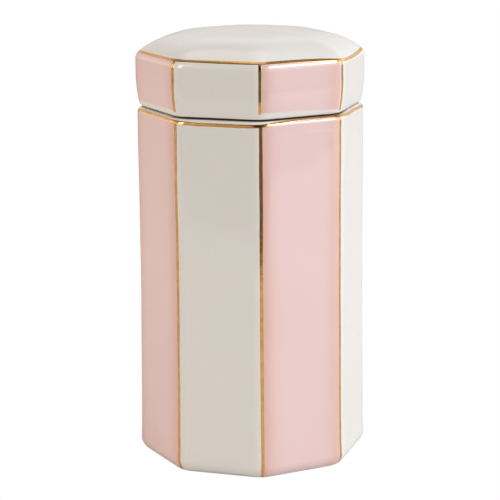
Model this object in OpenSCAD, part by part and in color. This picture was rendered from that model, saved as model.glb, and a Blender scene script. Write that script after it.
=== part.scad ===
// Octagonal lidded jar in glazed porcelain, in the style of a hat box.
// Millimetres, +Z up, origin at the centre of the foot. Flats face +-X, +-Y and the diagonals.

/* [Octagon] */
// Width of the jar across its flats
across_flats = 100; // [96:1:110]
// Radius that rounds the eight upright corners
corner_r = 12; // [10:0.5:13]

/* [Jar] */
// Height of the jar up to the land that the lid sits over
jar_h = 167; // [150:0.1:190]
// Thickness of the jar's cast wall
jar_wall = 4.7; // [4:0.1:5.5]
// Thickness of the floor above the foot recess
floor_t = 4.5; // [4:0.5:7]
// Radius under the jar's lower edge
foot_fillet = 8; // [7:0.5:9]
// Radius of the jar's shoulder
shoulder_fillet = 2.5; // [2.2:0.1:3]
// Bore of the round mouth, as a radius
mouth_r = 42; // [41.5:0.1:42.5]
// Height of the round collar round the mouth
collar_h = 12; // [11:0.5:16]
// Depth of the recess under the foot
recess_h = 1.5; // [1:0.1:2]
// Width of the unglazed foot ring
foot_ring_w = 5; // [4:0.5:6]

/* [Lid] */
// Gap between the jar's land and the lid
seam_gap = 0.7; // [0.4:0.1:0.9]
// How far the lid's widest band stands outside the jar, per side
lid_over = 0.2; // [0.1:0.1:0.6]
// Overall height of the lid above the seam
lid_h = 33.6; // [32:0.1:36]
// Thickness of the lid's cast wall
lid_wall = 4.7; // [4:0.1:5]
// How far the locating flange reaches below the lid's underside
flange_drop = 11.4; // [10.4:0.1:14]
// Outer radius of the locating flange
flange_r = 41; // [40.8:0.1:41.2]
// Thickness of the locating flange
flange_wall = 4; // [3.5:0.1:4.5]

/* [Seal] */
// Running clearance of the sealing fins in the mouth
fin_clearance = 0.05; // [0.02:0.01:0.1]
// Number of fins on the sealing ring
fins = 3; // [2:1:3]

/* [Decoration] */
// Width of every hand-banded gold line
gold_w = 1.5; // [0.8:0.1:2]
// How far the gold stands proud of the glaze
gold_proud = 0.12; // [0.05:0.01:0.2]
// Depth of the colour layers below the outer surface
layer_t = 0.35; // [0.3:0.05:0.6]

/* [Hidden] */
$fn = 96;

porcelain = [0.93, 0.92, 0.9];
pink = [0.93, 0.78, 0.76];
gold = [0.72, 0.55, 0.25];
silicone = [0.9, 0.89, 0.86];

side_angle = 45;              // from one flat to the next
half_side = side_angle / 2;   // from a flat to the corner beside it
overlap = 1;                  // how far parts run into each other, and cuts run past a surface

jar_apothem = across_flats / 2;
lid_apothem = jar_apothem + lid_over;   // at the lid's widest
z_seam = jar_h + seam_gap;              // underside of the lid
z_top = z_seam + lid_h;

// Hollows and foot recess
hollow_corner_r = 7;       // upright corners, jar and lid
jar_hollow_low_r = 7;
jar_hollow_top_r = 5;
lid_hollow_low_r = 4;
lid_hollow_top_r = 9;
lid_hollow_apothem = lid_apothem - lid_wall - 0.4;
mouth_edge_r = 1;          // rounds the top edge of the mouth
mouth_run = 8;             // how far the bore runs on below the collar
recess_corner_r = 4;

// Lid section, one side: four arcs; neighbours share a tangent where they meet
barrel_r = 70;       // lower half of the side bows in on this radius
lip_r = 1.6;         // bottom edge
edge_r = 5;          // top edge of the side
dome_r = 29;         // outer part of the domed top

barrel_centre = [lid_apothem - barrel_r, z_seam + 15];
lip_z = z_seam + lip_r;
lip_rise = barrel_centre[1] - lip_z;
lip_centre = [barrel_centre[0] + other_leg(barrel_r - lip_r, lip_rise), lip_z];
lip_angle = -asin(lip_rise / (barrel_r - lip_r));

dome_centre = [lid_apothem - 20.5, z_top - dome_r];
edge_x = lid_apothem - edge_r;
edge_run = edge_x - dome_centre[0];
edge_centre = [edge_x, dome_centre[1] + other_leg(dome_r - edge_r, edge_run)];
edge_angle = acos(edge_run / (dome_r - edge_r));

// Heights of the colour layers
z_jar_paint = 2;                                // lower end of the jar's panels and corner lines
z_rim_low = jar_h - shoulder_fillet + 0.6;      // gold line round the shoulder
z_rim_high = z_rim_low + gold_w;
z_lid_paint = z_seam + 2.4;                     // lower end of the lid's panels and corner lines
// The lid's gold line runs half its width to each side of where the edge meets the dome
z_edge_low = on_arc(edge_centre, edge_r, edge_angle - turn(gold_w / 2, edge_r))[1];
z_edge_high = on_arc(dome_centre, dome_r, edge_angle + turn(gold_w / 2, dome_r))[1];

// Locating flange and the groove that holds the sealing ring
z_flange = z_seam - flange_drop;   // lower end
flange_inner_r = flange_r - flange_wall;
flange_edge_r = 1;                 // rounds the lower outer edge
flange_bore_rise = 11;             // how far the bore reaches above the seam
groove_r = flange_r - 1.5;         // bottom of the groove
groove_h = 6;
groove_z = z_flange + 1.5;         // lower side of the groove

// Sealing ring
ring_inner_r = groove_r + 0.05;
ring_outer_r = flange_r - 0.4;
ring_gap = 0.1;                    // above and below, in the groove
fin_tip_r = mouth_r - fin_clearance;
fin_root_r = ring_outer_r - 0.1;
fin_root_half = 0.55;
fin_tip_low = -0.1;                // tip edges, from the middle of the root
fin_tip_high = 0.3;
fin_pitch = 1.9;

function other_leg(hypotenuse, leg) = sqrt(pow(hypotenuse, 2) - pow(leg, 2));

// Angle in degrees that an arc of this length covers
function turn(length, r) = length / r * 180 / PI;

function on_arc(centre, r, angle) = [centre[0] + r * cos(angle), centre[1] + r * sin(angle)];

function arc(centre, r, from, to, steps) =
    [for (i = [0:steps]) on_arc(centre, r, from + (to - from) * i / steps)];

// ---- Shared shapes ----
// "grow" moves an outline outwards, or inwards where it is negative.

module rounded_octagon(apothem, r) {
    arc_reach = (apothem - r) / cos(half_side);
    half_flat = (apothem - r) * tan(half_side);
    polygon([
        for (k = [0:7], end = [-1, 1])
            let (angle = side_angle * k)
            [apothem * cos(angle) - end * half_flat * sin(angle),
             apothem * sin(angle) + end * half_flat * cos(angle)]
    ]);
    for (k = [0:7])
        translate(on_arc([0, 0], arc_reach, half_side + side_angle * k)) circle(r);
}

// Upright section with rounded lower and upper edges
module soft_box(half_w, z_low, z_high, low_r, high_r) {
    low_w = half_w - low_r;
    high_w = half_w - high_r;
    translate([-half_w, z_low + low_r]) square([2 * half_w, z_high - z_low - low_r - high_r]);
    translate([-low_w, z_low]) square([2 * low_w, low_r + overlap]);
    translate([-high_w, z_high - high_r - overlap]) square([2 * high_w, high_r + overlap]);
    for (side = [-1, 1]) {
        translate([side * low_w, z_low + low_r]) circle(low_r);
        translate([side * high_w, z_high - high_r]) circle(high_r);
    }
}

module lid_section(grow) {
    half = concat(
        arc(lip_centre, lip_r + grow, -90, lip_angle, 6),
        arc(barrel_centre, barrel_r + grow, lip_angle, 0, 4),
        arc(edge_centre, edge_r + grow, 0, edge_angle, 5),
        arc(dome_centre, dome_r + grow, edge_angle, 90, 10)
    );
    polygon(concat(half, [for (i = [len(half) - 1:-1:0]) [-half[i][0], half[i][1]]]));
}

// A section stood on edge and swept straight through the octagon
module sweep(angle)
    rotate([0, 0, angle])
        rotate([90, 0, 0])
            linear_extrude(height = 1.4 * across_flats, center = true) children();

// The same section swept across all four pairs of flats, with the upright corners rounded
module eight_sided(apothem, r, z_low, z_high) intersection() {
    sweep(0) children();
    sweep(45) children();
    sweep(90) children();
    sweep(135) children();
    translate([0, 0, z_low])
        linear_extrude(height = z_high - z_low) rounded_octagon(apothem, r);
}

module jar_form(grow)
    eight_sided(jar_apothem + grow, corner_r + grow, -overlap, jar_h + overlap)
        soft_box(jar_apothem + grow, -grow, jar_h + grow,
                 foot_fillet + grow, shoulder_fillet + grow);

module lid_form(grow)
    eight_sided(lid_apothem + grow, corner_r + grow, z_seam - overlap, z_top + overlap)
        lid_section(grow);

// ---- Colour zones ----

// Wedges over the four faces on X and Y, stopping at the gold corner lines
module pink_zone(z_low, z_high) {
    tip = gold_w / 2 / sin(half_side);
    reach = 80;
    half_w = (reach - tip) * tan(half_side);
    translate([0, 0, z_low]) linear_extrude(height = z_high - z_low)
        for (k = [0:3])
            rotate(90 * k) polygon([[tip, 0], [reach, -half_w], [reach, half_w]]);
}

// Upright blades over the eight corners
module corner_zone(z_low, z_high) {
    inner = 40;
    depth = 20;
    for (k = [0:7])
        rotate([0, 0, half_side + side_angle * k])
            translate([inner, -gold_w / 2, z_low]) cube([depth, gold_w, z_high - z_low]);
}

// Level slab right across the piece
module band_zone(z_low, z_high) {
    reach = 70;
    translate([-reach, -reach, z_low]) cube([2 * reach, 2 * reach, z_high - z_low]);
}

// The part of a zone that lies in the colour layer, raised by "proud"
module jar_layer(proud) difference() {
    intersection() {
        jar_form(proud);
        children();
    }
    jar_form(-layer_t);
}

module lid_layer(proud) difference() {
    intersection() {
        lid_form(proud);
        children();
    }
    lid_form(-layer_t);
}

// ---- Jar ----

module jar_inside() {
    z_floor = recess_h + floor_t;
    z_collar = jar_h - collar_h;
    hollow_apothem = jar_apothem - jar_wall;
    eight_sided(hollow_apothem, hollow_corner_r, z_floor - overlap, jar_h)
        soft_box(hollow_apothem, z_floor, z_collar, jar_hollow_low_r, jar_hollow_top_r);
    rotate_extrude() {
        translate([0, z_collar - mouth_run]) square([mouth_r, collar_h + mouth_run + overlap]);
        difference() {
            translate([mouth_r - overlap, jar_h - mouth_edge_r])
                square([overlap + mouth_edge_r, mouth_edge_r + overlap]);
            translate([mouth_r + mouth_edge_r, jar_h - mouth_edge_r]) circle(mouth_edge_r);
        }
    }
}

module foot_recess()
    translate([0, 0, -overlap])
        linear_extrude(height = recess_h + overlap)
            rounded_octagon(jar_apothem - foot_fillet - foot_ring_w, recess_corner_r);

module jar_body() color(porcelain) difference() {
    jar_form(0);
    difference() {
        union() {
            pink_zone(z_jar_paint, z_rim_low);
            corner_zone(z_jar_paint, z_rim_low);
            band_zone(z_rim_low, z_rim_high);
        }
        jar_form(-layer_t);
    }
    jar_inside();
    foot_recess();
}

module jar_pink_panels() color(pink) jar_layer(0) pink_zone(z_jar_paint, z_rim_low);

module jar_gold_corner_lines()
    color(gold) jar_layer(gold_proud) corner_zone(z_jar_paint, z_rim_low);

module jar_gold_rim_line() color(gold) jar_layer(gold_proud) band_zone(z_rim_low, z_rim_high);

// ---- Lid ----

// Drain-cast hollow that opens through the flange
module lid_inside() {
    eight_sided(lid_hollow_apothem, hollow_corner_r, z_seam + 1, z_top)
        soft_box(lid_hollow_apothem, z_seam + lid_wall, z_top - lid_wall,
                 lid_hollow_low_r, lid_hollow_top_r);
    translate([0, 0, z_flange - overlap])
        cylinder(r = flange_inner_r, h = overlap + flange_drop + flange_bore_rise);
}

module lid_flange() rotate_extrude() difference() {
    inner = flange_inner_r - overlap;
    round_x = flange_r - flange_edge_r;
    round_z = z_flange + flange_edge_r;
    union() {
        translate([inner, round_z]) square([flange_r - inner, z_seam + overlap - round_z]);
        translate([inner, z_flange]) square([round_x - inner, flange_edge_r + overlap]);
        translate([round_x, round_z]) circle(flange_edge_r);
    }
    translate([groove_r, groove_z]) square([5, groove_h]);
}

module lid_body() color(porcelain) difference() {
    union() {
        lid_form(0);
        lid_flange();
    }
    difference() {
        union() {
            pink_zone(z_lid_paint, z_edge_low);
            corner_zone(z_lid_paint, z_edge_low);
            band_zone(z_edge_low, z_edge_high);
        }
        lid_form(-layer_t);
    }
    lid_inside();
}

module lid_pink_panels() color(pink) lid_layer(0) pink_zone(z_lid_paint, z_edge_low);

module lid_gold_corner_lines()
    color(gold) lid_layer(gold_proud) corner_zone(z_lid_paint, z_edge_low);

module lid_gold_edge_line() color(gold) lid_layer(gold_proud) band_zone(z_edge_low, z_edge_high);

// ---- Sealing ring: a band in the flange's groove, with fins that wipe the mouth ----

module seal_ring() color(silicone) rotate_extrude() {
    translate([ring_inner_r, groove_z + ring_gap])
        square([ring_outer_r - ring_inner_r, groove_h - 2 * ring_gap]);
    for (k = [0:fins - 1])
        translate([0, groove_z + groove_h / 2 + (k - (fins - 1) / 2) * fin_pitch])
            polygon([
                [fin_root_r, -fin_root_half], [fin_tip_r, fin_tip_low],
                [fin_tip_r, fin_tip_high], [fin_root_r, fin_root_half]
            ]);
}

jar_body();
jar_pink_panels();
jar_gold_corner_lines();
jar_gold_rim_line();
lid_body();
lid_pink_panels();
lid_gold_corner_lines();
lid_gold_edge_line();
seal_ring();
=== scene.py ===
"""Octagonal porcelain jar with a domed lid and a silicone sealing ring.

The jar stands on z = 0 with its axis on Z. Its eight flats face 0, 45, 90 ... degrees from +X.
The four flats that face along X and Y are glazed pink; gold lines run up the corners and round
the form. Forms are worked out in millimetres and scaled to metres when a mesh is made.
The stage, lights and camera are in metres.
"""
import math

import bpy
import numpy as np
from mathutils import Matrix, Vector


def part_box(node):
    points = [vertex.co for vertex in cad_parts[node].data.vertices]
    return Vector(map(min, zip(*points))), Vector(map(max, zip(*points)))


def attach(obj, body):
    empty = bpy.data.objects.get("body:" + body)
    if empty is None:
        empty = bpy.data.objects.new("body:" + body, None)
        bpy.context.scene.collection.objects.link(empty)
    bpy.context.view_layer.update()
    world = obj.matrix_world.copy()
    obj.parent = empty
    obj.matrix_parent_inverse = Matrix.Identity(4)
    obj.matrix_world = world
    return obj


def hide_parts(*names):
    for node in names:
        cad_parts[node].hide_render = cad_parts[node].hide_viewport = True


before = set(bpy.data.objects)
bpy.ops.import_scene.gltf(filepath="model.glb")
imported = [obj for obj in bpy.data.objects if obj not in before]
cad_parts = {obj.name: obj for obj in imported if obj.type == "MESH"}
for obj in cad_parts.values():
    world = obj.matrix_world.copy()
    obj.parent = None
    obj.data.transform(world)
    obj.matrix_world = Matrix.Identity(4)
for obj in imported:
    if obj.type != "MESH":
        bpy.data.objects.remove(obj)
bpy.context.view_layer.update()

MM = 0.001
HALF_SIDE = math.radians(22.5)            # from the middle of a flat to its corner
TAN_HALF = math.tan(HALF_SIDE)
COS_HALF = math.cos(HALF_SIDE)


def box_mm(piece):
    return [[c / MM for c in corner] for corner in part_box(piece)]


# ---------------------------------------------------------------- driving sizes, mm

RIM_LO, RIM_HI = box_mm("jar_gold_rim_line")
LID_LO, LID_HI = box_mm("lid_body")
LID_PANEL_LO, LID_PANEL_HI = box_mm("lid_pink_panels")
SEAL_LO, SEAL_HI = box_mm("seal_ring")

JAR_AP = box_mm("jar_pink_panels")[1][0]  # apothem of the jar
JAR_H = box_mm("jar_body")[1][2]          # land that the lid sits over
SEAM = JAR_H + 0.7                        # underside of the lid
LID_AP = LID_PANEL_HI[0]                  # apothem of the lid at its widest
LID_TOP = LID_HI[2]
LID_LINE_Z = box_mm("lid_gold_corner_lines")[0][2]
MOUTH_R = SEAL_HI[0] + 0.05
FLANGE_Z = LID_LO[2]                      # lower edge of the lid's flange
FLANGE_R = 41.0
CORNER_R = 12.0                           # rounding of the octagon's corners

LINE_W = RIM_HI[2] - RIM_LO[2]            # width of the gold lines
LINE_H = 0.055                            # height of the gold above the glaze
LINE_DEPTH = 0.2                          # how far the gold is sunk
LINE_COLS = 9                             # points across a gold line
LINE_RADIUS = 53.0                        # radius at which sideways drift is measured

PANEL_EDGE = 0.25                         # pink tapers out over this width at each side
PANEL_DEPTH = 0.3                         # how far the pink is sunk

# Slow drift of a hand-drawn line: share of its size, length scale in mm, phase per seed
WANDER = ((0.55, 17.0, 2.3), (0.3, 6.1, 5.1), (0.15, 2.3, 1.7))


# ---------------------------------------------------------------- surfaces

def octagon(angle, apothem, corner):
    """Radius, in direction angle, of an octagon with its corners rounded by corner."""
    off_flat = np.radians(np.abs((np.degrees(angle) + 22.5) % 45.0 - 22.5))
    centre = (apothem - corner) / COS_HALF
    off_corner = HALF_SIDE - off_flat
    across = np.maximum(corner ** 2 - (centre * np.sin(off_corner)) ** 2, 0)
    arc = centre * np.cos(off_corner) + np.sqrt(across)
    on_flat = apothem * np.tan(off_flat) <= (apothem - corner) * TAN_HALF
    return np.where(on_flat, apothem / np.cos(off_flat), arc)


def fillet(before, point, after, radius):
    """Tangent points and centre of the arc that rounds a bend in the section."""
    to_before, to_after = before - point, after - point
    to_before = to_before / np.linalg.norm(to_before)
    to_after = to_after / np.linalg.norm(to_after)
    half = math.acos(max(-1, min(1, float(to_before @ to_after)))) / 2
    back = radius / math.tan(half)
    middle = to_before + to_after
    centre = point + middle / np.linalg.norm(middle) * radius / math.sin(half)
    return point + to_before * back, point + to_after * back, centre


def profile(stops, step, arc_step=6.0):
    """Upright section through a flat, as rows along the path.

    stops: (apothem, z, fillet radius, corner radius, squareness, waver, circle radius).
    The circle radius is the apothem if left out. Squareness 1 is the octagon and 0 the circle.
    Returns rows of [apothem, z, corner radius, squareness, waver, circle radius]."""
    stops = [(*stop, stop[0])[:7] for stop in stops]
    places = [np.array(stop[:2], float) for stop in stops]
    styles = [np.array([*stop[3:6], stop[6] - stop[0]], float) for stop in stops]
    last = len(stops) - 1
    bends = [
        (place, place, None) if stop[2] <= 0 or i in (0, last)
        else fillet(places[i - 1], place, places[i + 1], stop[2])
        for i, (stop, place) in enumerate(zip(stops, places))]
    rows = []

    def put(place, style):
        rows.append([*place, *style[:3], place[0] + style[3]])

    for i, (start, end, centre) in enumerate(bends):
        if centre is None:
            put(start, styles[i])
        else:
            from_angle = math.atan2(start[1] - centre[1], start[0] - centre[0])
            to_angle = math.atan2(end[1] - centre[1], end[0] - centre[0])
            turn = (to_angle - from_angle + math.pi) % (2 * math.pi) - math.pi
            count = max(4, int(abs(math.degrees(turn)) / arc_step) + 1)
            for k in range(count + 1):
                angle = from_angle + turn * k / count
                spoke = np.array([math.cos(angle), math.sin(angle)])
                put(centre + stops[i][2] * spoke, styles[i])
        if i < last:
            gap = bends[i + 1][0] - end
            count = max(1, int(np.linalg.norm(gap) / step) + 1)
            for k in range(1, count):
                put(end + gap * k / count, styles[i] + (styles[i + 1] - styles[i]) * (k / count))
    rows = np.array(rows, float)
    apart = np.linalg.norm(np.diff(rows[:, :2], axis=0), axis=1) > 1e-4
    return rows[np.concatenate([[True], apart])]


class Form:
    """A closed ceramic form: a section swept round the octagon.

    A place on it is s, the distance along the section, and an angle round Z. Glaze and gold
    are cut from the same surface."""

    def __init__(self, rows, seed):
        self.rows = rows
        lengths = np.linalg.norm(np.diff(rows[:, :2], axis=0), axis=1)
        self.s = np.concatenate([[0], np.cumsum(lengths)])
        self.seed = seed

    def find(self, apothem, z):
        """Distance along the section of the point nearest (apothem, z)."""
        fine = np.linspace(0, self.s[-1], 6000)
        off_ap = np.interp(fine, self.s, self.rows[:, 0]) - apothem
        off_z = np.interp(fine, self.s, self.rows[:, 1]) - z
        return float(fine[np.argmin(off_ap ** 2 + off_z ** 2)])

    def point(self, s, angle):
        apothem, z, corner, square, waver, circle = (
            np.interp(s, self.s, self.rows[:, k]) for k in range(6))
        seed = self.seed
        # slow unevenness of the clay, mm
        slow = (0.09 * np.sin(2 * angle + 0.6 + seed)
                + 0.06 * np.sin(3 * angle + z / 57 + 2.1 * seed)
                + 0.05 * np.sin(z / 21 + 2 * angle + seed)
                + 0.03 * np.sin(z / 8.5 + 5 * angle + 1.3 * seed))
        r = square * octagon(angle, apothem, corner) + (1 - square) * circle + waver * slow
        return np.stack([r * np.cos(angle), r * np.sin(angle), z + 0 * angle], -1)

    def normal(self, s, angle, reach=0.02):
        along = (self.point(np.minimum(s + reach, self.s[-1]), angle)
                 - self.point(np.maximum(s - reach, 0), angle))
        r = np.maximum(np.linalg.norm(self.point(s, angle)[..., :2], axis=-1), 1.0)
        around = self.point(s, angle + reach / r) - self.point(s, angle - reach / r)
        n = np.cross(around, along)
        return n / np.maximum(np.linalg.norm(n, axis=-1, keepdims=True), 1e-12)

    def lifted(self, s, angle, height):
        return self.point(s, angle) + self.normal(s, angle) * np.asarray(height)[..., None]


def angles_round():
    """Directions round the octagon, close together over the rounded corners."""
    out = []
    for k in range(8):
        corner = 22.5 + 45 * k
        out += [corner + d for d in np.arange(-5.5, 5.51, 0.5)]
        out += [corner + 5.5 + d for d in np.linspace(0, 34, 15)[1:-1]]
    return np.radians(np.array(out))


ROUND = angles_round()


def wander(x, seed, size):
    """A slow, hand-drawn drift along x, in millimetres."""
    return size * sum(share * np.sin(x / length + seed * phase) for share, length, phase in WANDER)


def stray(stops):
    """How far a hand-banded ring strays up the section: smooth through (degrees, mm) stops."""
    degrees, offset = np.array(stops, float).T
    fine = np.arange(-360, 720, 1.0)
    turns = np.concatenate([degrees - 360, degrees, degrees + 360])
    raw = np.interp(fine, turns, np.tile(offset, 3))
    window = np.hanning(13)
    soft = np.convolve(raw, window / window.sum(), "same")
    return lambda x: np.interp(np.asarray(x, float) % 360, fine, soft)


# ---------------------------------------------------------------- meshes
# A mesh here is (points, faces, point attributes by name).

def quads(loop_count, loop_size, closed):
    faces = []
    for i in range(loop_count if closed else loop_count - 1):
        this, following = i * loop_size, (i + 1) % loop_count * loop_size
        for j in range(loop_size):
            k = (j + 1) % loop_size
            faces.append((this + j, this + k, following + k, following + j))
    return faces


def loops_mesh(loops, closed, attributes=None):
    """Skin over loops of points, either joined last to first or capped at both ends."""
    count, size = len(loops), len(loops[0])
    faces = quads(count, size, closed)
    if not closed:
        faces.append(tuple(range(size - 1, -1, -1)))
        faces.append(tuple(range((count - 1) * size, count * size)))
    return np.concatenate(loops), faces, attributes or {}


def form_mesh(form):
    """Whole closed form as rings of points joined from its first centre to its last."""
    points = form.point(form.s[1:-1, None], ROUND[None, :])
    count, size = points.shape[:2]
    first, last = count * size, count * size + 1
    centres = [[0, 0, form.rows[0, 1]], [0, 0, form.rows[-1, 1]]]
    faces = quads(count, size, False)
    for j in range(size):
        k = (j + 1) % size
        faces.append((first, k, j))
        faces.append((last, (count - 1) * size + j, (count - 1) * size + k))
    return np.concatenate([points.reshape(-1, 3), centres]), faces, {}


def join(parts):
    points, faces, attributes, base = [], [], {}, 0
    for part_points, part_faces, part_attributes in parts:
        points.append(part_points)
        faces += [tuple(i + base for i in face) for face in part_faces]
        for key, values in part_attributes.items():
            attributes.setdefault(key, []).append(values)
        base += len(part_points)
    return (np.concatenate(points), faces,
            {key: np.concatenate(values) for key, values in attributes.items()})


def make(name, mesh, body, replaced, material):
    points, faces, attributes = mesh
    me = bpy.data.meshes.new(name)
    me.from_pydata([tuple(p) for p in points * MM], [], faces)
    me.validate()
    me.update()
    me.polygons.foreach_set("use_smooth", [True] * len(me.polygons))
    for key, values in attributes.items():
        attribute = me.attributes.new(key, "FLOAT", "POINT")
        attribute.data.foreach_set("value", np.asarray(values, np.float32))
    ob = bpy.data.objects.new(name, me)
    bpy.context.scene.collection.objects.link(ob)
    me.materials.append(material)
    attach(ob, body)
    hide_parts(replaced)


# ---------------------------------------------------------------- gold lines

ACROSS = np.sin(np.radians(np.linspace(-90, 90, LINE_COLS)))   # -1 to 1 across a line
CROWN = LINE_H * (1 - ACROSS ** 6)                             # its rounded top


def line_section(form, s, angle, lift):
    """One loop across a gold line: its lifted top, then its sunk underside."""
    s, angle = np.broadcast_arrays(s, angle)
    top = form.lifted(s, angle, lift)
    low = form.lifted(s[::-1], angle[::-1], np.full(LINE_COLS, -LINE_DEPTH))
    return np.concatenate([top, low])


def bead(form, rows, middle, half_w):
    """A line up the section with a rounded lower tip. middle and half_w go with rows."""
    reach = np.minimum(1, (rows - rows[0]) / half_w)
    taper = np.maximum(np.sqrt(1 - (1 - reach) ** 2), 0.06)
    loops = []
    for i, s in enumerate(rows):
        r = float(np.linalg.norm(form.point(s, middle[i])[:2]))
        angle = middle[i] + ACROSS * half_w[i] * taper[i] / r
        lift = (CROWN + 0.010) * (0.35 + 0.65 * taper[i]) - 0.020
        loops.append(line_section(form, s, angle, lift))
    return loops_mesh(loops, False, {"along": np.repeat(rows - rows[0], 2 * LINE_COLS)})


def corner_lines(form, start, end, seed, step, sways, widths, upper, lower=np.zeros_like):
    """Hand-banded lines up all eight corners; lower and upper move their ends."""
    tip = np.array([0.04, 0.12, 0.25, 0.4, 0.6])
    parts = []
    for k in range(8):
        corner = 22.5 + 45 * k
        s0 = start + float(lower(corner))
        s1 = end + float(upper(corner))
        rows = rows_between(form, s0, s1, step)
        rows = np.unique(np.concatenate([rows, s0 + tip, s1 - tip]))
        x = rows + 31 * k
        middle = math.radians(corner) + (wander(x, seed + k, 0.11) + sways[k]) / LINE_RADIUS
        half_w = LINE_W / 2 * widths[k] * (1 + wander(x * 1.3, seed + 3 * k + 1, 0.09))
        parts.append(bead(form, rows, middle, half_w))
    return join(parts)


def ring_half_width(mean, ripples):
    """Half width round a ring line. ripples: (size, waves round the form, phase)."""
    return LINE_W / 2 * (mean + sum(size * np.sin(waves * ROUND + phase)
                                    for size, waves, phase in ripples))


def ring_line(form, s_middle, half_w, seed, size, level):
    """A line round the form, straying from level; half_w goes with ROUND."""
    drift = wander(ROUND * JAR_AP, seed, size) * np.sin(ROUND) + level(np.degrees(ROUND))
    loops = [
        line_section(form, s_middle + drift[j] + ACROSS * half_w[j], angle, CROWN - 0.010)[::-1]
        for j, angle in enumerate(ROUND)]
    return loops_mesh(loops, True, {"along": np.repeat(ROUND * JAR_AP, 2 * LINE_COLS)})


# ---------------------------------------------------------------- pink glaze

def rows_between(form, s0, s1, step):
    """Section stations from s0 to s1: the form's own, with more where they are far apart."""
    inner = [s for s in form.s if s0 + 0.05 < s < s1 - 0.05]
    out = [s0]
    for s in inner + [s1]:
        gap = s - out[-1]
        count = max(1, int(math.ceil(gap / step)))
        out += [out[-1] + gap * (k + 1) / count for k in range(count)]
    return np.array(out)


def panel_rows(form, start, end, step, first, top_span, top_count):
    """Stations up a panel: extra ones (first) at its start and top_count over its top_span."""
    rows = rows_between(form, start, end, step)
    return np.unique(np.concatenate([
        rows[rows < end - (top_span + 0.1)], start + np.array(first),
        np.linspace(end - top_span, end, top_count)]))


def panel(form, rows, face, seed, upper, lower):
    """A thin coat over the flat at face degrees, reaching under the gold at each side.

    It feathers out at its lower end; lower and upper move its ends."""
    half = HALF_SIDE - PANEL_EDGE / (JAR_AP * 1.06)
    dense = math.radians(17.0)            # columns are close together outside this
    cols = np.concatenate([
        np.linspace(-half, -dense, 13), np.linspace(-dense, dense, 15)[1:-1],
        np.linspace(dense, half, 13)])
    angle = math.radians(face) + cols
    degrees = face + np.degrees(cols)
    from_side = (half - np.abs(cols)) * JAR_AP
    side_in = np.clip(from_side / PANEL_EDGE, 0, 1)
    ragged = wander(cols * JAR_AP + 40 * seed, seed + face, 0.16)
    # painted shade: weight for darkening the pink towards each corner line
    near_corner = np.exp(-(from_side / 5.0) ** 2)
    loops = []
    for s in rows:
        up, down = s - rows[0], rows[-1] - s
        s_here = (s + np.clip(1 - up / 6.0, 0, 1) * ragged
                  + np.clip(1 - up / 9.0, 0, 1) * lower(degrees)
                  + np.clip(1 - down / 9.0, 0, 1) * upper(degrees))
        end_in = min(1.0, up / 0.9)
        lift = 0.018 * side_in * end_in ** 0.7 - 0.012 * (1 - side_in) - 0.008 * (1 - end_in)
        top = form.lifted(s_here, angle, lift)
        low = form.lifted(s_here, angle[::-1], np.full(len(cols), -PANEL_DEPTH))
        loops.append(np.concatenate([top, low]))
    coat = np.minimum(1.0, (rows - rows[0]) / 1.6)
    corner = np.concatenate([near_corner, near_corner[::-1]])
    return loops_mesh(loops, False, {"coat": np.repeat(coat, 2 * len(cols)),
                                     "corner": np.tile(corner, len(rows))})


def panels(form, rows, seed, upper, lower=np.zeros_like):
    return join([panel(form, rows, 90 * k, seed + k, upper, lower) for k in range(4)])


# ---------------------------------------------------------------- shader helpers

class Shader:
    """A node tree with short ways to add and link nodes. Values may be sockets or numbers."""

    def __init__(self, tree):
        self.tree = tree

    def fill(self, node, inputs):
        for key, value in inputs.items():
            socket = node.inputs[key]
            if isinstance(value, bpy.types.NodeSocket):
                self.tree.links.new(value, socket)
            elif socket.type == "RGBA":
                socket.default_value = (*value, 1.0)
            else:
                socket.default_value = value

    def add(self, kind, inputs=None, **settings):
        node = self.tree.nodes.new(kind)
        for key, value in settings.items():
            setattr(node, key, value)
        self.fill(node, inputs or {})
        return node

    def coords(self):
        return self.add("ShaderNodeTexCoord").outputs["Object"]

    def noise(self, vector, scale, detail, rough):
        return self.add("ShaderNodeTexNoise", {
            "Scale": scale, "Detail": detail, "Roughness": rough, "Vector": vector}).outputs["Fac"]

    def ramp(self, value, lo, hi, to_lo=0.0, to_hi=1.0):
        return self.add("ShaderNodeMapRange", {
            "From Min": lo, "From Max": hi, "To Min": to_lo, "To Max": to_hi, "Value": value},
            interpolation_type="SMOOTHSTEP").outputs["Result"]

    def calc(self, operation, a, b):
        return self.add("ShaderNodeMath", {0: a, 1: b}, operation=operation).outputs[0]

    def times(self, a, b):
        return self.calc("MULTIPLY", a, b)

    def less_from_one(self, value):
        return self.calc("SUBTRACT", 1.0, value)

    def mix(self, factor, a, b, mode="MIX"):
        return self.add("ShaderNodeMix", {0: factor, 6: a, 7: b}, data_type="RGBA",
                        blend_type=mode, clamp_factor=True).outputs[2]

    def mix_shader(self, factor, a, b):
        return self.add("ShaderNodeMixShader", {0: factor, 1: a, 2: b}).outputs[0]

    def attribute(self, name):
        return self.add("ShaderNodeAttribute", attribute_name=name).outputs["Fac"]

    def bump(self, height, distance, strength=1.0, normal=None):
        inputs = {"Strength": strength, "Distance": distance, "Height": height}
        if normal is not None:
            inputs["Normal"] = normal
        return self.add("ShaderNodeBump", inputs).outputs["Normal"]

    def dot(self, vector, direction):
        return self.add("ShaderNodeVectorMath", {0: vector, 1: direction},
                        operation="DOT_PRODUCT").outputs["Value"]

    def z_of(self, vector):
        return self.add("ShaderNodeSeparateXYZ", {0: vector}).outputs["Z"]

    def normal_z(self):
        """How far the surface faces up, in the object's own frame."""
        normal = self.add("ShaderNodeNewGeometry").outputs["Normal"]
        turned = self.add("ShaderNodeVectorTransform", {0: normal}, vector_type="NORMAL",
                          convert_from="WORLD", convert_to="OBJECT")
        return self.z_of(turned.outputs[0])

    def camera_ray(self):
        return self.add("ShaderNodeLightPath").outputs["Is Camera Ray"]


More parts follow.
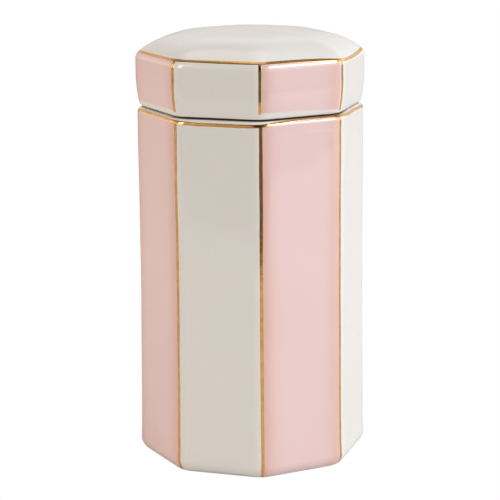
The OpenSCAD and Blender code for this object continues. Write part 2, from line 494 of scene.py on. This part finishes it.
def new_material(name):
    material = bpy.data.materials.new(name)
    material.use_nodes = True
    tree = material.node_tree
    return material, Shader(tree), tree.nodes["Principled BSDF"]


def toward(azimuth, elevation=0.0):
    """Unit vector from the jar; azimuth 0 is towards -Y, and 90 towards +X."""
    a, e = math.radians(azimuth), math.radians(elevation)
    return (math.sin(a) * math.cos(e), -math.cos(a) * math.cos(e), math.sin(e))


# ---------------------------------------------------------------- materials

WHITE = (0.86, 0.835, 0.80)
WHITE_TINT = (0.845, 0.825, 0.785)
PINK = (0.90, 0.665, 0.64)
PINK_TINT = (0.886, 0.648, 0.618)
PINK_CORNER_SHADE = (0.925, 0.81, 0.75)         # multiplies the pink near the corner lines: painted shade
GOLD = (0.87, 0.505, 0.17)
GOLD_DEEP = (0.76, 0.39, 0.11)
CLAY = ((0.76, 0.70, 0.61), (0.83, 0.79, 0.72))
# painted shade: dark brown for the bare faces in the shadowed gap at the seam
CLAY_SEAM_SHADE = ((0.24, 0.155, 0.085), (0.34, 0.24, 0.15))
SILICONE = ((0.80, 0.79, 0.76), (0.86, 0.855, 0.83))
TABLE = (0.75, 0.745, 0.735)

GLAZE_IOR = 1.68
CLAY_ROUGHNESS = 0.78
SEAM_SHADE_SIDE = -17                        # azimuth where the painted seam shade is darkest


def specks(shader, xyz, fired, colour):
    """Faint, rare clay specks under the glaze."""
    cells = shader.add("ShaderNodeTexVoronoi", {"Scale": 150, "Vector": xyz})
    dot = shader.ramp(cells.outputs["Distance"], lo=0.05, hi=0.10, to_lo=1.0, to_hi=0.0)
    patches = shader.noise(xyz, scale=90, detail=0, rough=0.5)
    rare = shader.ramp(patches, lo=0.63, hi=0.70)
    amount = shader.times(shader.times(dot, rare), 0.35)
    return shader.mix(amount, fired, tuple(c * 0.72 for c in colour))


def corner_shade_and_feather(shader, fired):
    """The pink is darkened near the gold corner lines as painted shade, and the coat feathers out
    to white at its end.
    """
    near_corner = shader.attribute("corner")
    # painted shade: darker, warmer pink towards the corners
    corner_shade = shader.mix(1.0, fired, PINK_CORNER_SHADE, "MULTIPLY")
    fired = shader.mix(near_corner, fired, corner_shade)
    cover = shader.ramp(shader.attribute("coat"), lo=0.0, hi=0.75)
    return shader.mix(cover, WHITE, fired)


def bare_clay_and_seam_shade(shader, xyz):
    """Colour of unglazed clay, with painted shade: the two faces at the seam are darkened brown,
    most on the side towards the camera.
    """
    mottle = shader.noise(xyz, scale=220, detail=3, rough=0.6)
    clay = shader.mix(shader.ramp(mottle, lo=0.35, hi=0.65), *CLAY)
    z = shader.z_of(xyz)
    # painted shade at the seam: a band over the land and the ledge, darkest on the side towards
    # the camera
    seam = shader.times(
        shader.ramp(z, lo=(JAR_H - 1.0) * MM, hi=(JAR_H - 0.4) * MM),
        shader.ramp(z, lo=(SEAM + 0.4) * MM, hi=(SEAM + 1.0) * MM, to_lo=1.0, to_hi=0.0))
    facing = shader.dot(xyz, tuple(c / (JAR_AP * MM) for c in toward(SEAM_SHADE_SIDE)))
    seam = shader.times(seam, shader.ramp(facing, lo=0.45, hi=0.72, to_lo=0.25, to_hi=1.0))
    mottle = shader.noise(xyz, scale=160, detail=3, rough=0.6)
    seam_shade = shader.mix(shader.ramp(mottle, lo=0.3, hi=0.7), *CLAY_SEAM_SHADE)
    return shader.mix(seam, clay, seam_shade)


def glaze(name, colour, tint, bare=None, is_coat=False):
    """Glossy, slightly wavy fired glaze over a drifting colour with faint specks.

    bare gives a mask of unglazed clay. is_coat is for panels with coat attributes."""
    material, shader, bsdf = new_material(name)
    xyz = shader.coords()
    drift = shader.ramp(shader.noise(xyz, scale=26, detail=3, rough=0.55), lo=0.3, hi=0.7)
    fired = specks(shader, xyz, shader.mix(drift, colour, tint), colour)
    rough = shader.ramp(shader.noise(xyz, scale=60, detail=3, rough=0.6),
                        lo=0.3, hi=0.7, to_lo=0.03, to_hi=0.07)
    if is_coat:
        fired = corner_shade_and_feather(shader, fired)
    peel = shader.noise(xyz, scale=420, detail=2, rough=0.5)
    slow = shader.noise(xyz, scale=62, detail=2, rough=0.45)
    normal = shader.bump(slow, distance=0.00016)
    normal = shader.bump(peel, distance=0.0000065, normal=normal)
    if bare is not None:
        mask = bare(shader, xyz)
        grain = shader.noise(xyz, scale=1500, detail=3, rough=0.7)
        fired = shader.mix(mask, fired, bare_clay_and_seam_shade(shader, xyz))
        rough = shader.calc("ADD", shader.times(rough, shader.less_from_one(mask)),
                            shader.times(mask, CLAY_ROUGHNESS))
        normal = shader.bump(shader.times(grain, mask), distance=0.00012, strength=0.9,
                             normal=normal)
    shader.fill(bsdf, {"Base Color": fired, "Roughness": rough, "Normal": normal,
                       "IOR": GLAZE_IOR})
    return material


def jar_bare(shader, xyz):
    """Unglazed on the flat of the foot ring and on the land that the lid sits over."""
    z, facing_up = shader.z_of(xyz), shader.normal_z()
    foot = shader.times(shader.ramp(z, lo=0.00045, hi=0.0008, to_lo=1.0, to_hi=0.0),
                        shader.ramp(facing_up, lo=-0.8, hi=-0.5, to_lo=1.0, to_hi=0.0))
    land = shader.times(shader.ramp(z, lo=(JAR_H - 0.25) * MM, hi=(JAR_H - 0.1) * MM),
                        shader.ramp(facing_up, lo=0.9, hi=0.98))
    return shader.calc("MAXIMUM", foot, land)


def lid_bare(shader, xyz):
    """Unglazed on the ledge that meets the jar and on the flange's lower edge."""
    z = shader.z_of(xyz)
    down = shader.ramp(shader.normal_z(), lo=-0.9, hi=-0.6, to_lo=1.0, to_hi=0.0)
    ledge = shader.times(
        shader.ramp(z, lo=(SEAM - 0.5) * MM, hi=(SEAM - 0.2) * MM),
        shader.ramp(z, lo=(SEAM + 0.1) * MM, hi=(SEAM + 0.2) * MM, to_lo=1.0, to_hi=0.0))
    foot = shader.ramp(z, lo=(FLANGE_Z + 0.5) * MM, hi=(FLANGE_Z + 0.9) * MM,
                       to_lo=1.0, to_hi=0.0)
    return shader.times(down, shader.calc("MAXIMUM", ledge, foot))


def gold(name):
    """Fired gold lustre: mirror-like, uneven where the brush laid it thick or thin."""
    material, shader, bsdf = new_material(name)
    xyz = shader.coords()
    stroke = shader.times(shader.attribute("along"), 0.012)
    stroke = shader.add("ShaderNodeCombineXYZ", {"X": stroke}).outputs[0]
    sway = shader.noise(stroke, scale=1.0, detail=2, rough=0.5)
    patch = shader.noise(xyz, scale=240, detail=3, rough=0.6)
    both = shader.calc("ADD", shader.times(sway, 0.5), shader.times(patch, 0.5))
    thin = shader.ramp(both, lo=0.4, hi=0.62)
    rough = shader.ramp(shader.noise(xyz, scale=700, detail=2, rough=0.6),
                        lo=0.3, hi=0.7, to_lo=0.07, to_hi=0.15)
    grain = shader.noise(xyz, scale=1100, detail=2, rough=0.6)
    shader.fill(bsdf, {
        "Base Color": shader.mix(thin, GOLD, GOLD_DEEP), "Metallic": 1.0, "Roughness": rough,
        "Normal": shader.bump(grain, distance=0.000012)})
    return material


def silicone(name):
    """Satin, slightly translucent off-white rubber."""
    material, shader, bsdf = new_material(name)
    xyz = shader.coords()
    mottle = shader.ramp(shader.noise(xyz, scale=300, detail=3, rough=0.6), lo=0.3, hi=0.7)
    rough = shader.ramp(shader.noise(xyz, scale=900, detail=2, rough=0.6),
                        lo=0.3, hi=0.7, to_lo=0.42, to_hi=0.58)
    grain = shader.noise(xyz, scale=1800, detail=2, rough=0.7)
    shader.fill(bsdf, {
        "Base Color": shader.mix(mottle, *SILICONE), "Roughness": rough,
        "Normal": shader.bump(grain, distance=0.00004, strength=0.6),
        "Subsurface Weight": 0.25, "Subsurface Radius": (1.0, 0.95, 0.85),
        "Subsurface Scale": 0.002})
    return material


def table_top(name):
    """Plain white to the camera, matt and pale to everything else, clear from below."""
    material, shader, bsdf = new_material(name)
    shader.fill(bsdf, {"Base Color": TABLE, "Roughness": 0.9, "Specular IOR Level": 0.0})
    white = shader.add("ShaderNodeEmission", {"Color": (1, 1, 1)}).outputs[0]
    clear = shader.add("ShaderNodeBsdfTransparent").outputs[0]
    seen = shader.mix_shader(shader.camera_ray(), bsdf.outputs[0], white)
    below = shader.add("ShaderNodeNewGeometry").outputs["Backfacing"]
    output = shader.tree.nodes["Material Output"]
    shader.fill(output, {"Surface": shader.mix_shader(below, seen, clear)})
    return material


M_JAR = glaze("white_glaze_jar", WHITE, WHITE_TINT, bare=jar_bare)
M_LID = glaze("white_glaze_lid", WHITE, WHITE_TINT, bare=lid_bare)
M_PINK = glaze("pink_glaze", PINK, PINK_TINT, is_coat=True)
M_GOLD = gold("gold_lustre")
M_SEAL = silicone("silicone")

# ---------------------------------------------------------------- jar

FOOT_FLARE = 0.5365                       # the side is this much wider at the foot
WAIST = 0.556                             # and this much narrower halfway up
RIM_TUCK = 0.38                           # and drawn in by this close to the rim
FOOT_FILLET = 6.5                         # rounding under the side
FOOT_CORNER = 9.5                         # corner radius down there
CAVITY_AP = 45.3
CAVITY_FLOOR = 6

# Where the rim line strays from level: (degrees from +X, mm up the section)
RIM_STRAY = stray([
    (0, 0.0), (45, -0.5), (90, -0.2), (135, 0.1), (157.5, 0.25), (180, 0.4), (195, 0.35),
    (203, -0.1), (212, -0.7), (240, -0.75), (249, -0.4), (257, 0.5), (266, 1.25), (292, 1.25),
    (305, 0.3), (318, 0.5), (330, 0.2), (345, 0.1)])
# Sideways stray (mm) and relative width of each corner line, from 22.5 degrees on
JAR_SWAYS = [0.0, 0.1, -0.1, 0.05, 0.3, -0.2, 0.15, 0.0]
JAR_WIDTHS = [1.0, 0.95, 1.05, 1.0, 0.95, 1.13, 1.0, 1.0]


def side_ap(z):
    """Apothem of the jar's side, very slightly waisted."""
    t = 1 - z / (JAR_H - 2.2)
    tuck = RIM_TUCK * math.exp(-max(0.0, JAR_H - 3 - z) / 9.0)
    return JAR_AP + FOOT_FLARE * t - WAIST * 4 * t * (1 - t) - tuck


def jar_form():
    # apothem, z, fillet radius, corner radius, squareness, waver
    return Form(profile([
        # underside and foot ring
        (0, 1.5, 0, 3, 1, 0),
        (37.0, 1.5, 0.9, 5, 1, 0),
        (37.5, 0, 0.7, 5, 1, 0),
        (side_ap(0), 0, FOOT_FILLET, FOOT_CORNER, 1, 0.4),
        # side
        *[(side_ap(z), z, 0, CORNER_R, 1, 1) for z in np.arange(12, JAR_H - 5, 4.0)],
        # land and round mouth
        (JAR_AP - 0.3, JAR_H, 2.5, CORNER_R - 0.8, 1, 0.6),
        (46.4, JAR_H, 0, 10, 1, 0),
        (43.2, JAR_H, 0, 6, 0, 0),
        (MOUTH_R, JAR_H, 1.0, 6, 0, 0),
        (MOUTH_R, JAR_H - 12, 1.0, 6, 0, 0),
        (MOUTH_R + 1.4, JAR_H - 12, 0, 6, 0.25, 0),
        # cavity
        (CAVITY_AP, JAR_H - 12.6, 0.9, 7, 1, 0),
        (CAVITY_AP, CAVITY_FLOOR, 7, 7, 1, 0),
        (30, CAVITY_FLOOR, 0, 5, 1, 0),
        (0, CAVITY_FLOOR, 0, 3, 1, 0)], step=2.5), seed=0.4)


def find_on_foot(form, degrees):
    """Distance along the section of a point on the foot's fillet."""
    angle = math.radians(degrees)
    return form.find(side_ap(0) - FOOT_FILLET + FOOT_FILLET * math.cos(angle),
                     FOOT_FILLET + FOOT_FILLET * math.sin(angle))


def build_jar():
    form = jar_form()
    make("jar_porcelain", form_mesh(form), "jar", "jar_body", M_JAR)

    s_rim = form.find(JAR_AP - 0.1, (RIM_LO[2] + RIM_HI[2]) / 2)
    rows = panel_rows(form, find_on_foot(form, -58), s_rim, step=2.0,
                      first=[0.3, 0.6, 0.9, 1.3, 1.7], top_span=6, top_count=31)
    make("jar_pink_glaze", panels(form, rows, seed=0, upper=RIM_STRAY),
         "jar", "jar_pink_panels", M_PINK)

    lines = corner_lines(form, find_on_foot(form, -62), s_rim, seed=0.7, step=1.0,
                         sways=JAR_SWAYS, widths=JAR_WIDTHS, upper=RIM_STRAY)
    make("jar_gold_corners", lines, "jar", "jar_gold_corner_lines", M_GOLD)

    half_w = ring_half_width(1.12, [(0.07, 3, 0.5), (0.05, 7, 2)])
    # drawn thinner on the flat that faces -Y
    half_w = half_w * (1 - 0.42 * np.exp(-((np.degrees(ROUND) - 273) / 17.0) ** 2))
    line = ring_line(form, s_rim, half_w, seed=0.3, size=0.06, level=RIM_STRAY)
    make("jar_gold_rim", line, "jar", "jar_gold_rim_line", M_GOLD)


build_jar()

# ---------------------------------------------------------------- lid

LIP_R = 1.6                               # rounding of the side's lower edge
BARREL_R = 70.0                           # bulge of the side
BARREL_Z = SEAM + 15.0
BARREL_AP = LID_AP - BARREL_R             # centre of the bulge
LIP_AP = BARREL_AP + math.sqrt((BARREL_R - LIP_R) ** 2 - (BARREL_Z - SEAM - LIP_R) ** 2)
LIP_END = -math.degrees(math.asin((BARREL_Z - SEAM - LIP_R) / (BARREL_R - LIP_R)))
DOME_AP = LID_AP - 1.716                  # where the domed top starts
DOME_Z = SEAM + 25.5
EDGE_R = 4.4                              # rounding from the side into the dome
EDGE_LEAN = 52.4                          # degrees turned by the start of the dome
EDGE_CENTRE = (DOME_AP - EDGE_R * math.cos(math.radians(EDGE_LEAN)),
               DOME_Z - EDGE_R * math.sin(math.radians(EDGE_LEAN)))
CROWN_Z = LID_TOP + 0.05
INNER_AP = 45.2
GROOVE_R = FLANGE_R - 1.5                 # bottom of the groove for the seal
GROOVE_LO, GROOVE_HI = FLANGE_Z + 1.5, FLANGE_Z + 7.5
FLANGE_IN = FLANGE_R - 4

# Stations over the dome, as fractions of its apothem
DOME_STATIONS = [
    0.995, 0.985, 0.97, 0.95, 0.925, 0.9, 0.87, 0.84, 0.8, 0.76,
    0.71, 0.66, 0.6, 0.53, 0.45, 0.36, 0.26, 0.15, 0.05]

# Strays of the edge line and of the pink's lower end: (degrees from +X, mm up the section)
EDGE_STRAY = stray([
    (0, -0.2), (45, 0.1), (90, 0.2), (135, 0.0), (180, -0.3), (202, 0.0), (225, -0.15),
    (255, -0.15), (272, -0.3), (282, -0.6), (290, -1.2), (297, -2.0), (312, -2.1),
    (324, -1.7), (338, -0.4)])
SAG = stray([
    (0, -0.5), (45, -0.2), (90, 0.1), (135, -0.3), (180, -0.5), (202.5, -0.6), (225, -0.2),
    (247.5, 0.0), (270, -0.1), (285, -0.8), (295, -1.4), (340, -0.7)])
LID_SWAYS = [0.1, -0.1, 0.15, -0.1, -0.9, -0.45, 0.8, 0.0]
LID_WIDTHS = [1.0, 1.05, 0.95, 1.0, 1.05, 1.0, 0.98, 1.0]


def arc_stops(centre, radius, start, end, count, corner, waver):
    """Octagonal stops along an arc of the section, from start to end degrees."""
    return [(centre[0] + radius * math.cos(math.radians(a)),
             centre[1] + radius * math.sin(math.radians(a)), 0, corner, 1, waver)
            for a in np.linspace(start, end, count)]


def dome_stops():
    """The octagon melts into a circle of its mean radius towards the top."""
    mean_r = float(octagon(np.radians(np.arange(0, 360, 1.0)), DOME_AP, CORNER_R).mean())
    return [(t * DOME_AP, DOME_Z + (CROWN_Z - DOME_Z) * (1 - t ** 5.3), 0,
             CORNER_R * t, t ** 1.5, 0, t * mean_r) for t in DOME_STATIONS]


def lid_form():
    # apothem, z, fillet radius, corner radius, squareness, waver
    return Form(profile([
        # inside of the lid
        (0, LID_TOP - 4.7, 0, 3, 1, 0),
        (INNER_AP, LID_TOP - 4.9, 9, 7, 1, 0),
        (INNER_AP, SEAM + 4.7, 4, 7, 1, 0),
        (FLANGE_R - 2.4, SEAM + 4.5, 0, 5, 0.1, 0),
        # round flange with its groove
        (FLANGE_IN, SEAM + 4.4, 1.5, 5, 0, 0),
        (FLANGE_IN, FLANGE_Z, 1.3, 5, 0, 0),
        (FLANGE_R, FLANGE_Z, 0.5, 5, 0, 0),
        (FLANGE_R, GROOVE_LO, 0.2, 5, 0, 0),
        (GROOVE_R, GROOVE_LO, 0.2, 5, 0, 0),
        (GROOVE_R, GROOVE_HI, 0.2, 5, 0, 0),
        (FLANGE_R, GROOVE_HI, 0.2, 5, 0, 0),
        # ledge that meets the jar
        (FLANGE_R, SEAM, 0.8, 5, 0, 0),
        (42.6, SEAM, 0, 6, 0, 0),
        (45.4, SEAM, 0, 9, 1, 0),
        # side, edge and dome
        *arc_stops((LIP_AP, SEAM + LIP_R), LIP_R, -90, LIP_END, 12, corner=10.5, waver=0.3),
        *arc_stops((BARREL_AP, BARREL_Z), BARREL_R, LIP_END, 0, 9, corner=11.5, waver=0.8)[1:],
        (LID_AP, BARREL_Z + 2.0, 0, CORNER_R, 1, 1),
        (LID_AP, BARREL_Z + 4.0, 0, CORNER_R, 1, 1),
        *arc_stops(EDGE_CENTRE, EDGE_R, 0, EDGE_LEAN, 9, corner=CORNER_R, waver=0.7),
        *dome_stops(),
        (0, CROWN_Z, 0, 0.1, 0, 0)], step=2.0), seed=2.2)


def find_on_barrel(form, z):
    """Distance along the section of the point at height z on the bulging side."""
    return form.find(BARREL_AP + BARREL_R * math.cos(math.asin((BARREL_Z - z) / BARREL_R)), z)


def build_lid():
    form = lid_form()
    make("lid_porcelain", form_mesh(form), "lid", "lid_body", M_LID)

    s_edge = form.find(DOME_AP, DOME_Z)
    rows = panel_rows(form, find_on_barrel(form, LID_PANEL_LO[2] + 0.2), s_edge, step=1.5,
                      first=[0.25, 0.5, 0.8, 1.2, 1.7], top_span=8, top_count=28)
    make("lid_pink_glaze", panels(form, rows, seed=5, upper=EDGE_STRAY, lower=SAG),
         "lid", "lid_pink_panels", M_PINK)

    lines = corner_lines(form, find_on_barrel(form, LID_LINE_Z + 0.1), s_edge, seed=4.1,
                         step=0.8, sways=LID_SWAYS, widths=LID_WIDTHS, upper=EDGE_STRAY,
                         lower=SAG)
    make("lid_gold_corners", lines, "lid", "lid_gold_corner_lines", M_GOLD)

    half_w = ring_half_width(1.15, [(0.06, 3, 1.5), (0.05, 8, 1)])
    line = ring_line(form, s_edge, half_w, seed=1.9, size=0.05, level=EDGE_STRAY)
    make("lid_gold_edge", line, "lid", "lid_gold_edge_line", M_GOLD)


build_lid()

# ---------------------------------------------------------------- sealing ring

SEAL_IN = FLANGE_R - 1.45
SEAL_BAND = FLANGE_R - 0.4                # outside of the band between the lips
SEAL_TIP = SEAL_HI[0]
LIP_PITCH = 1.9


def seal_section():
    """Closed (r, z) section, anticlockwise: a band with three lips leaning slightly up."""
    inner, band, tip = SEAL_IN, SEAL_BAND, SEAL_TIP
    low, high = SEAL_LO[2], SEAL_HI[2]
    points = [
        (inner, high - 0.25), (inner, low + 0.25), (inner + 0.08, low + 0.07),
        (inner + 0.25, low), (band - 0.25, low), (band - 0.07, low + 0.07), (band, low + 0.25)]
    # one lip: radius, height from its middle
    lip = [
        (band, -0.62), (band + 0.18, -0.42), (band + 0.7, -0.17), (tip - 0.14, -0.05),
        (tip - 0.03, 0.02), (tip, 0.12), (tip - 0.03, 0.22), (tip - 0.14, 0.27),
        (band + 0.7, 0.22), (band + 0.18, 0.42), (band, 0.60)]
    for k in (-1, 0, 1):
        middle = (low + high) / 2 + LIP_PITCH * k
        points += [(r, middle + z) for r, z in lip]
    points += [
        (band, high - 0.25), (band - 0.07, high - 0.07), (band - 0.25, high),
        (inner + 0.25, high), (inner + 0.08, high - 0.07)]
    return np.array(points)


def build_seal():
    r, z = seal_section()[::-1].T
    loops = [np.stack([r * math.cos(a), r * math.sin(a), z], -1)
             for a in np.linspace(0, 2 * math.pi, 241)[:-1]]
    make("silicone_seal", loops_mesh(loops, True), "seal", "seal_ring", M_SEAL)


build_seal()

# ---------------------------------------------------------------- floor

FLOOR_AZIMUTH = -27.4                     # the way its front edge faces
FLOOR_FRONT, FLOOR_BACK, FLOOR_HALF_W = 0.48, 3.2, 1.9
FLOOR_Z = -0.00005


def build_floor():
    """A pale table top, seen from above only.

    Its front edge is near, so the front of the jar mirrors the dim room beyond it. A hole
    hidden under the foot lets light from below reach the recess."""
    front = Vector(toward(FLOOR_AZIMUTH)) * FLOOR_FRONT
    back = -Vector(toward(FLOOR_AZIMUTH)) * FLOOR_BACK
    across = Vector(toward(FLOOR_AZIMUTH + 90)) * FLOOR_HALF_W
    corners = [front - across, front + across, back + across, back - across]
    hole = side_ap(0) - FOOT_FILLET - 0.4
    rim = [Vector((math.cos(a), math.sin(a), 0)) * float(octagon(a, hole, FOOT_CORNER)) * MM
           for a in np.radians(np.arange(0, 360, 5.0))]
    nearest = [max(range(4), key=lambda k: corners[k].normalized().dot(r)) for r in rim]
    faces = []
    for i in range(len(rim)):
        j = (i + 1) % len(rim)
        faces.append((4 + i, nearest[i], 4 + j))
        if nearest[j] != nearest[i]:
            faces.append((nearest[i], nearest[j], 4 + j))
    me = bpy.data.meshes.new("floor")
    me.from_pydata([(p.x, p.y, FLOOR_Z) for p in corners + rim], [], faces)
    ob = bpy.data.objects.new("floor", me)
    me.materials.append(table_top("table_white"))
    bpy.context.scene.collection.objects.link(ob)


build_floor()

# ---------------------------------------------------------------- light

# Parts of the room: strength, colour
ROOM = {
    "left": (0.800, (1.000, 0.885, 0.791)),
    "right": (1.325, (0.963, 0.982, 1.000)),
    "back": (0.667, (1.000, 0.959, 0.920)),
    "up": (0.290, (1.000, 1.000, 1.000)),
    "even": (0.040, (1.000, 0.991, 0.991)),
    "low": (0.140, (1.000, 1.000, 1.000)),
    "under": (0.750, (1.000, 0.980, 0.960)),
}
LIGHT_TARGET = (0, 0, 0.1)


def build_room():
    """Pale studio: bright at the sides and back, dim towards the camera, which itself
    sees plain white."""
    world = bpy.data.worlds.new("studio")
    bpy.context.scene.world = world
    world.use_nodes = True
    world.node_tree.nodes.clear()
    shader = Shader(world.node_tree)
    ray = shader.add("ShaderNodeTexCoord").outputs["Generated"]
    z = shader.z_of(ray)
    high = shader.ramp(z, lo=0.30, hi=0.80)
    level = shader.times(shader.less_from_one(high),
                         shader.ramp(z, lo=-0.12, hi=0.02, to_lo=0.10, to_hi=1.0))

    def glow(azimuth, elevation, lo, hi):
        return shader.ramp(shader.dot(ray, toward(azimuth, elevation)), lo, hi)

    def wall(azimuth, lo, hi):
        return shader.times(glow(azimuth, 0, lo, hi), level)

    shapes = {
        "left": wall(azimuth=-105, lo=0.42, hi=0.90),
        "right": wall(azimuth=62, lo=0.22, hi=0.85),
        "back": wall(azimuth=-178, lo=0.25, hi=0.85),
        "up": glow(azimuth=130, elevation=65, lo=0.40, hi=0.85),
        "even": None,
        "low": shader.ramp(z, lo=-0.06, hi=0.0, to_lo=1.0, to_hi=0.0),
        "under": shader.ramp(z, lo=-0.85, hi=-0.6, to_lo=1.0, to_hi=0.0),
    }
    black = (0.0, 0.0, 0.0)
    total = black
    for name, shape in shapes.items():
        strength, colour = ROOM[name]
        full = tuple(strength * c for c in colour)
        piece = full if shape is None else shader.mix(shape, black, full)
        total = shader.mix(1.0, total, piece, "ADD")
    lit = shader.add("ShaderNodeBackground", {"Color": total}).outputs[0]
    plain = shader.add("ShaderNodeBackground", {"Color": (1, 1, 1)}).outputs[0]
    surface = shader.mix_shader(shader.camera_ray(), lit, plain)
    shader.add("ShaderNodeOutputWorld", {"Surface": surface})


def softbox(name, azimuth, elevation, distance, width, height, power, colour):
    direction = Vector(toward(azimuth, elevation))
    light = bpy.data.lights.new(name, "AREA")
    light.shape = "RECTANGLE"
    light.size, light.size_y = width, height
    light.energy = power
    light.color = colour
    ob = bpy.data.objects.new(name, light)
    ob.location = Vector(LIGHT_TARGET) + direction * distance
    ob.rotation_mode = "QUATERNION"
    ob.rotation_quaternion = (-direction).to_track_quat("-Z", "Y")
    bpy.context.scene.collection.objects.link(ob)


build_room()
softbox("key_softbox", azimuth=37, elevation=34, distance=1.5, width=0.80, height=0.50,
        power=12.150, colour=(0.972, 0.972, 1.000))
softbox("left_softbox", azimuth=-79, elevation=21, distance=1.3, width=0.42, height=0.8,
        power=5.104, colour=(1.000, 0.898, 0.784))
softbox("top_softbox", azimuth=160, elevation=75, distance=1.4, width=0.8, height=0.8,
        power=1.150, colour=(1.000, 0.988, 0.965))

# ---------------------------------------------------------------- camera and render

CAMERA_PLACE = (-0.446899, -0.860136, 0.317477)
CAMERA_BACK = (-0.44886838, -0.86565903, 0.22170167)   # from the view towards the camera
CAMERA_AZIMUTH = math.radians(-27.408)
CAMERA_ROLL = math.radians(-0.414)


def build_camera():
    back = Vector(CAMERA_BACK).normalized()
    right = Vector((math.cos(CAMERA_AZIMUTH), math.sin(CAMERA_AZIMUTH), 0))
    up = back.cross(right)
    cos_roll, sin_roll = math.cos(CAMERA_ROLL), math.sin(CAMERA_ROLL)
    rolled_right = right * cos_roll + up * sin_roll
    rolled_up = -right * sin_roll + up * cos_roll
    matrix = Matrix((rolled_right, rolled_up, back)).transposed().to_4x4()
    matrix.translation = Vector(CAMERA_PLACE)
    data = bpy.data.cameras.new("camera")
    data.sensor_width = 36
    data.lens = 150.654
    data.clip_start, data.clip_end = 0.01, 100
    camera = bpy.data.objects.new("camera", data)
    bpy.context.scene.collection.objects.link(camera)
    camera.matrix_world = matrix
    bpy.context.scene.camera = camera


def set_render():
    scene = bpy.context.scene
    scene.view_settings.view_transform = "Standard"
    scene.view_settings.look = "None"
    scene.view_settings.exposure = 0
    scene.view_settings.gamma = 1
    scene.cycles.max_bounces = 8
    scene.cycles.diffuse_bounces = 4
    scene.cycles.glossy_bounces = 4


build_camera()
set_render()
